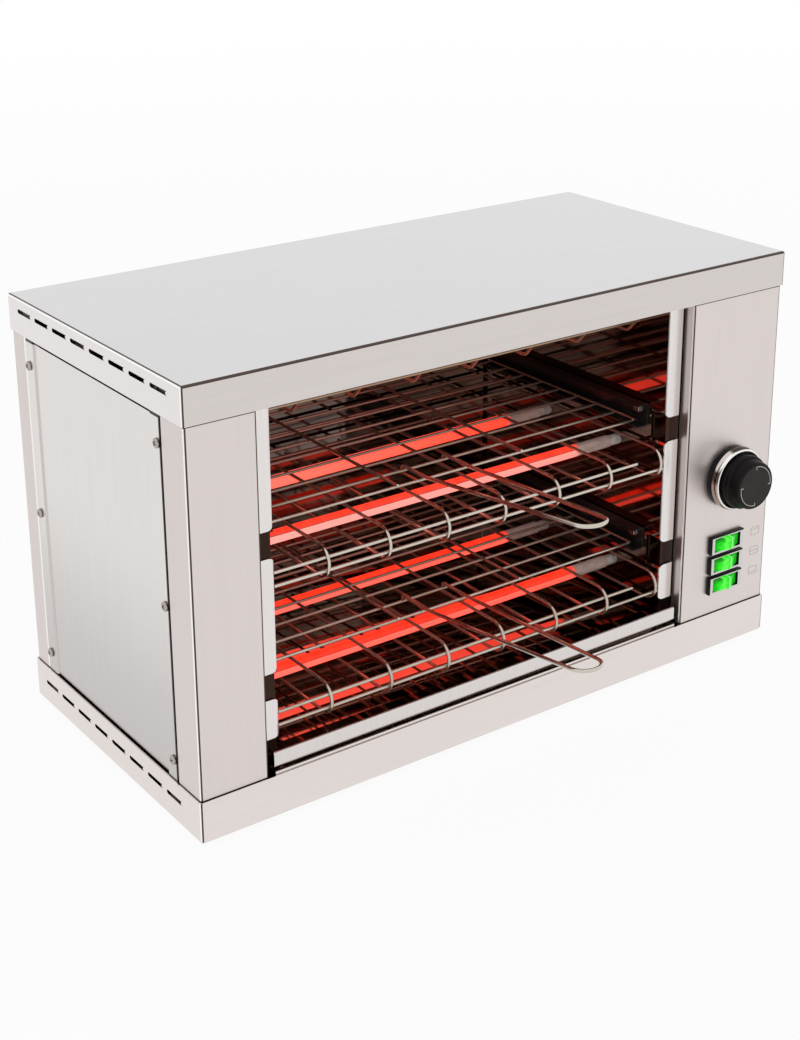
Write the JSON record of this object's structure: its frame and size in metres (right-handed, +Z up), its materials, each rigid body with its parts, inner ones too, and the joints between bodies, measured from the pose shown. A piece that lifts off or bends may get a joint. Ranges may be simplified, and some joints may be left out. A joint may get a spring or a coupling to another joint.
{
  "type": "commercial toaster",
  "caption": "Countertop commercial toaster: a stainless box open at the front, with wire racks between quartz heating tubes, a crumb tray, a timer knob and rocker switches.",
  "frame": {"origin": "on the table, under the middle of the whole length and depth with the rack handles and the cable gland included", "axes": "+X to the right as seen from the front, -Y out of the front opening, +Z up"},
  "size_m": [0.5012, 0.3648, 0.31],
  "materials": {
    "casing_steel": "satin",
    "polished_steel": "polished",
    "rail_steel": "heat darkened",
    "wire_steel": "polished, tinted by heat",
    "chrome": "polished",
    "quartz": "glowing, with ceramic ends",
    "black_plastic": "satin black",
    "green_lens": "lit lens",
    "pale_plastic": "matt",
    "rubber": "matt black"
  },
  "bodies": {
    "housing": {"lid_cover": "casing_steel", "base_pan": "casing_steel", "foot_front_left": "rubber", "foot_front_right": "rubber", "foot_rear_left": "rubber", "foot_rear_right": "rubber", "front_left_column": "casing_steel", "control_panel": "casing_steel", "rear_panel": "casing_steel", "left_side_cover": "casing_steel", "right_side_cover": "casing_steel", "left_cover_screw_1": "chrome", "left_cover_screw_2": "chrome", "left_cover_screw_3": "chrome", "left_cover_screw_4": "chrome", "left_cover_screw_5": "chrome", "left_cover_screw_6": "chrome", "right_cover_screw_1": "chrome", "right_cover_screw_2": "chrome", "right_cover_screw_3": "chrome", "right_cover_screw_4": "chrome", "right_cover_screw_5": "chrome", "right_cover_screw_6": "chrome", "left_liner": "polished_steel", "right_liner": "polished_steel", "back_liner": "polished_steel", "ceiling_reflector": "polished_steel", "inner_floor": "polished_steel", "rack_rail_upper_left": "rail_steel", "rack_rail_upper_right": "rail_steel", "rack_rail_lower_left": "rail_steel", "rack_rail_lower_right": "rail_steel", "quartz_tube_top_front": "quartz", "quartz_tube_top_rear": "quartz", "quartz_tube_middle_front": "quartz", "quartz_tube_middle_rear": "quartz", "quartz_tube_bottom_front": "quartz", "quartz_tube_bottom_rear": "quartz", "tube_guard_top": "wire_steel", "tube_guard_middle": "wire_steel", "tube_guard_bottom": "wire_steel", "timer_body": "pale_plastic", "timer_collar": "black_plastic", "switch_housing_upper": "black_plastic", "switch_housing_middle": "black_plastic", "switch_housing_lower": "black_plastic", "terminal_block": "pale_plastic", "cable_gland": "black_plastic"},
    "knob": {"timer_knob": "black_plastic", "knob_ring": "chrome", "timer_shaft": "chrome"},
    "rocker_upper": {"rocker_upper": "green_lens"},
    "rocker_middle": {"rocker_middle": "green_lens"},
    "rocker_lower": {"rocker_lower": "green_lens"},
    "upper_rack": {"upper_rack": "wire_steel", "upper_rack_handle": "wire_steel"},
    "lower_rack": {"lower_rack": "wire_steel", "lower_rack_handle": "wire_steel"},
    "crumb_tray": {"crumb_tray": "polished_steel"}
  },
  "joints": [
    {"name": "timer_turn", "type": "hinge", "parent": "housing", "child": "knob", "pos_m": [0.207, -0.05833, 0.144], "axis": [0, 1, 0], "range_deg": [0, 300]},
    {"name": "rocker_upper_press", "type": "hinge", "parent": "housing", "child": "rocker_upper", "pos_m": [0.2056, -0.05862, 0.0915], "axis": [0, 0, 1], "range_deg": [-14, 0]},
    {"name": "rocker_middle_press", "type": "hinge", "parent": "housing", "child": "rocker_middle", "pos_m": [0.2056, -0.05862, 0.075], "axis": [0, 0, 1], "range_deg": [-14, 0]},
    {"name": "rocker_lower_press", "type": "hinge", "parent": "housing", "child": "rocker_lower", "pos_m": [0.2056, -0.05862, 0.0585], "axis": [0, 0, 1], "range_deg": [-14, 0]},
    {"name": "upper_rack_slide", "type": "slide", "parent": "housing", "child": "upper_rack", "axis": [0, -1, 0], "range_m": [0, 0.15]},
    {"name": "lower_rack_slide", "type": "slide", "parent": "housing", "child": "lower_rack", "axis": [0, -1, 0], "range_m": [0, 0.15]},
    {"name": "crumb_tray_slide", "type": "slide", "parent": "housing", "child": "crumb_tray", "axis": [0, -1, 0], "range_m": [0, 0.19]}
  ]
}
